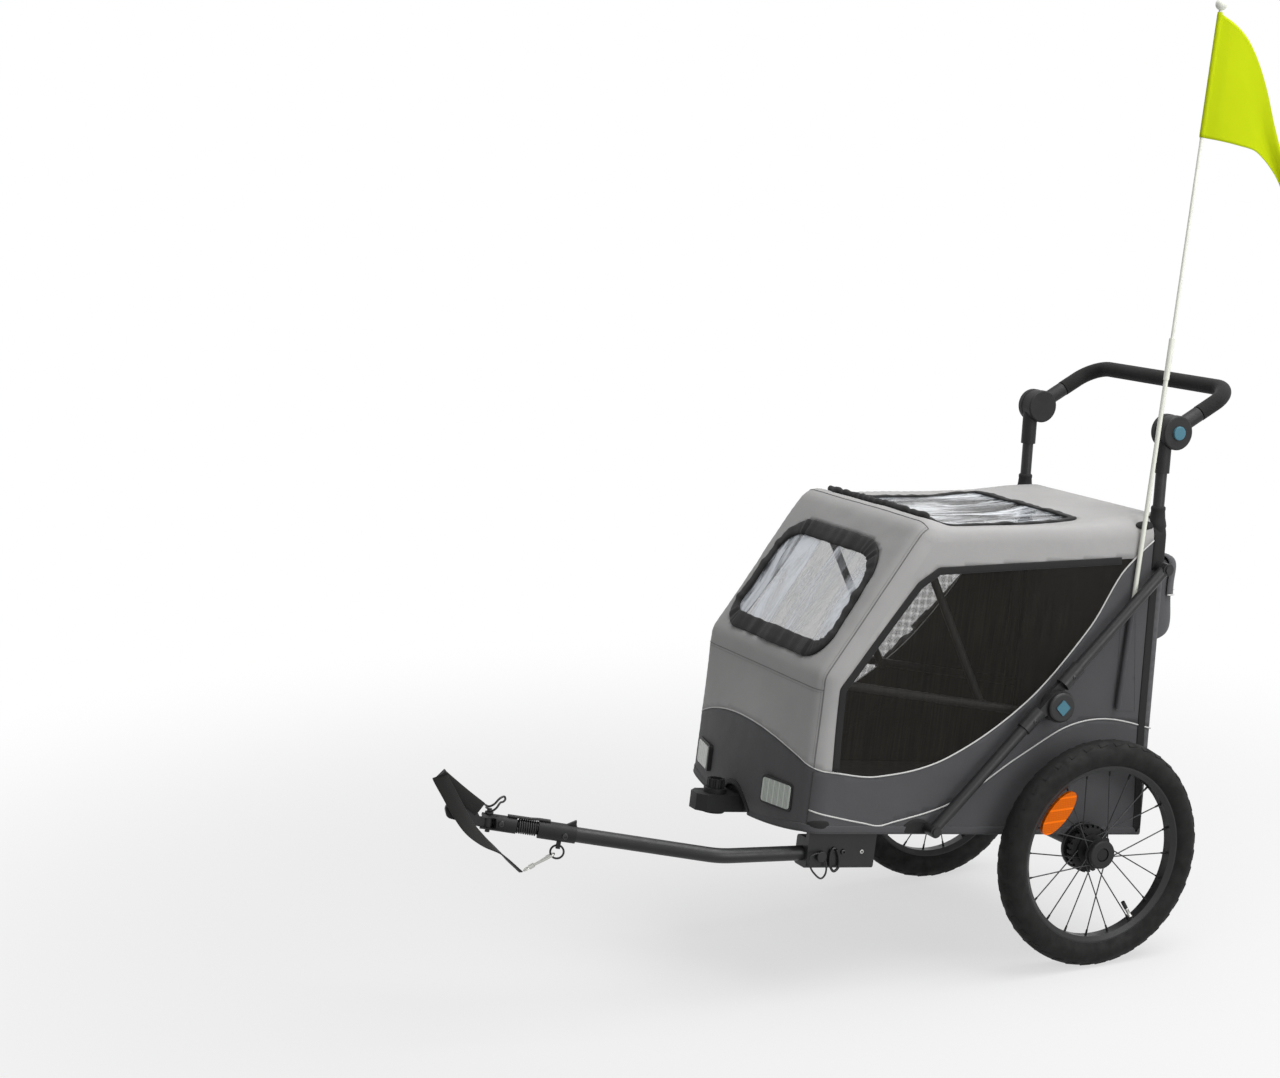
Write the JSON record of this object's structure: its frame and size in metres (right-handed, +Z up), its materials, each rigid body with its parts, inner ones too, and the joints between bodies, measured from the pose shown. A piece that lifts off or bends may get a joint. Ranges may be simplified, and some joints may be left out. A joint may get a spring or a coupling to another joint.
{
  "type": "dog bike trailer",
  "caption": "Folding dog trailer for a bicycle: tube frame with a sewn cabin, sprung drawbar hitch, tilting push handle, spoked wheels and a safety flag.",
  "frame": {"origin": "on the ground, at the centre of the trailer's box", "axes": "+X to the trailer's left, +Y backward, +Z up; the trailer stands pitched as behind a bicycle"},
  "size_m": [0.584, 1.5174, 1.6482],
  "materials": {
    "blue_grey": "moulded",
    "cloth_dark": "coated plain weave",
    "cloth_grey": "coated plain weave",
    "film": "clear flexible film",
    "flag_green": "coated cloth",
    "foam": "foamed sleeve",
    "frame_black": "satin powder coat",
    "lens_orange": "prismatic",
    "lens_red": "prismatic",
    "lens_white": "prismatic",
    "mesh_black": "open net",
    "plastic_black": "fine grain moulded",
    "pole_white": "glass-fibre rod",
    "rubber_tyre": "moulded rubber",
    "steel": "zinc plated",
    "webbing": "woven strap"
  },
  "bodies": {
    "chassis": {"base_frame": "frame_black", "floor_panel": "cloth_dark", "axle": "frame_black", "axle_pins": "steel", "side_panel_left": "cloth_dark", "side_panel_right": "cloth_dark", "skirt": "cloth_dark", "hood": "cloth_grey", "side_mesh": "mesh_black", "front_window": "film", "roof_window": "film", "front_reflectors": "lens_white", "reflector_frames": "plastic_black", "nose_wheel_socket": "plastic_black", "drawbar_bracket": "frame_black", "drawbar_tube": "frame_black", "drawbar_collar": "plastic_black", "tow_ring": "frame_black", "hitch_spring": "frame_black", "safety_strap": "webbing", "snap_hook": "steel"},
    "rear_frame": {"upright_left": "frame_black", "upright_right": "frame_black", "rear_cross_tubes": "frame_black", "tilt_sockets": "plastic_black", "rear_panel": "cloth_dark", "rear_pocket": "cloth_dark", "rear_reflectors": "lens_red", "flag_sleeve": "cloth_dark"},
    "handle": {"push_bar": "frame_black", "foam_grip": "foam", "tilt_knuckles": "plastic_black"},
    "waist_hoop": {"waist_hoop": "frame_black"},
    "ridge_hoop": {"ridge_hoop": "frame_black"},
    "pole": {"flag_pole": "pole_white", "flag": "flag_green"},
    "hitch": {"coupler": "plastic_black", "hitch_plate": "steel"},
    "hitch_pin": {"hitch_pin": "steel"},
    "lock_pin": {"lock_pin": "plastic_black"},
    "strut_upper_left": {"strut_upper_left": "frame_black"},
    "strut_lower_left": {"strut_lower_left": "frame_black"},
    "fold_button_left": {"fold_button_left": "blue_grey"},
    "tilt_button_left": {"tilt_button_left": "blue_grey"},
    "hub_button_left": {"hub_button_left": "plastic_black"},
    "wheel_left": {"tyre_left": "rubber_tyre", "rim_left": "frame_black", "hub_left": "plastic_black", "spokes_left": "steel", "spoke_reflector_left": "lens_orange"},
    "strut_upper_right": {"strut_upper_right": "frame_black"},
    "strut_lower_right": {"strut_lower_right": "frame_black"},
    "fold_button_right": {"fold_button_right": "blue_grey"},
    "tilt_button_right": {"tilt_button_right": "blue_grey"},
    "hub_button_right": {"hub_button_right": "plastic_black"},
    "wheel_right": {"tyre_right": "rubber_tyre", "rim_right": "frame_black", "hub_right": "plastic_black", "spokes_right": "steel", "spoke_reflector_right": "lens_orange"}
  },
  "joints": [
    {"name": "fold", "type": "hinge", "parent": "chassis", "child": "rear_frame", "pos_m": [0, 0.49839, 0.24513], "axis": [1, 0, 0], "range_deg": [0, 78], "deforming": ["skirt", "hood", "side_mesh", "front_window", "roof_window"]},
    {"name": "strut_top_left", "type": "hinge", "parent": "rear_frame", "child": "strut_upper_left", "pos_m": [0.238, 0.52384, 0.68255], "axis": [1, 0, 0], "range_deg": [-121.93, 0]},
    {"name": "knee_left", "type": "hinge", "parent": "strut_upper_left", "child": "strut_lower_left", "pos_m": [0.238, 0.30837, 0.46228], "axis": [1, 0, 0], "range_deg": [0, 171.2]},
    {"name": "fold_button_left", "type": "slide", "parent": "strut_lower_left", "child": "fold_button_left", "axis": [-1, 0, 0], "range_m": [0, 0.004], "stiffness_N_per_m": 300},
    {"name": "tilt_button_left", "type": "slide", "parent": "rear_frame", "child": "tilt_button_left", "axis": [-1, 0, 0], "range_m": [0, 0.004], "stiffness_N_per_m": 300},
    {"name": "hub_button_left", "type": "slide", "parent": "chassis", "child": "hub_button_left", "axis": [-1, 0, 0], "range_m": [0, 0.004], "stiffness_N_per_m": 300},
    {"name": "wheel_left", "type": "hinge", "parent": "chassis", "child": "wheel_left", "pos_m": [0.268, 0.3815, 0.2], "axis": [1, 0, 0], "continuous": true},
    {"name": "strut_top_right", "type": "hinge", "parent": "rear_frame", "child": "strut_upper_right", "pos_m": [-0.238, 0.52384, 0.68255], "axis": [1, 0, 0], "range_deg": [-121.93, 0]},
    {"name": "knee_right", "type": "hinge", "parent": "strut_upper_right", "child": "strut_lower_right", "pos_m": [-0.238, 0.30837, 0.46228], "axis": [1, 0, 0], "range_deg": [0, 171.2]},
    {"name": "fold_button_right", "type": "slide", "parent": "strut_lower_right", "child": "fold_button_right", "axis": [1, 0, 0], "range_m": [0, 0.004], "stiffness_N_per_m": 300},
    {"name": "tilt_button_right", "type": "slide", "parent": "rear_frame", "child": "tilt_button_right", "axis": [1, 0, 0], "range_m": [0, 0.004], "stiffness_N_per_m": 300},
    {"name": "hub_button_right", "type": "slide", "parent": "chassis", "child": "hub_button_right", "axis": [1, 0, 0], "range_m": [0, 0.004], "stiffness_N_per_m": 300},
    {"name": "wheel_right", "type": "hinge", "parent": "chassis", "child": "wheel_right", "pos_m": [-0.268, 0.3815, 0.2], "axis": [1, 0, 0], "continuous": true},
    {"name": "waist_hoop", "type": "hinge", "parent": "rear_frame", "child": "waist_hoop", "pos_m": [0, 0.50684, 0.39027], "axis": [1, 0, 0], "range_deg": [-75.95, 0]},
    {"name": "ridge_hoop", "type": "hinge", "parent": "waist_hoop", "child": "ridge_hoop", "pos_m": [0, 0.19909, 0.4616], "axis": [1, 0, 0], "range_deg": [0, 46.65]},
    {"name": "handle_tilt", "type": "hinge", "parent": "rear_frame", "child": "handle", "pos_m": [0, 0.55141, 0.91595], "axis": [1, 0, 0], "range_deg": [-75, 60]},
    {"name": "pole_lift", "type": "slide", "parent": "rear_frame", "child": "pole", "axis": [0, 0.1305, 0.9914], "range_m": [0, 0.25]},
    {"name": "lock_pin", "type": "slide", "parent": "chassis", "child": "lock_pin", "axis": [1, 0, 0], "range_m": [0, 0.048]},
    {"name": "hitch_flex", "type": "hinge", "parent": "chassis", "child": "hitch", "pos_m": [0.07616, -0.60343, 0.31865], "axis": [0, 0.1305, 0.9914], "range_deg": [-35, 35], "stiffness_Nm_per_rad": 20, "deforming": ["hitch_spring", "safety_strap"]},
    {"name": "hitch_pin", "type": "slide", "parent": "hitch", "child": "hitch_pin", "axis": [0, 0.1305, 0.9914], "range_m": [0, 0.045]}
  ],
  "couplings": [
    {"joint": "strut_top_left", "follows": "fold", "ratio": -1.5569},
    {"joint": "knee_left", "follows": "fold", "ratio": 2.1885},
    {"joint": "strut_top_right", "follows": "fold", "ratio": -1.5569},
    {"joint": "knee_right", "follows": "fold", "ratio": 2.1885},
    {"joint": "waist_hoop", "follows": "fold", "ratio": -0.96732},
    {"joint": "ridge_hoop", "follows": "fold", "ratio": 0.59173}
  ]
}
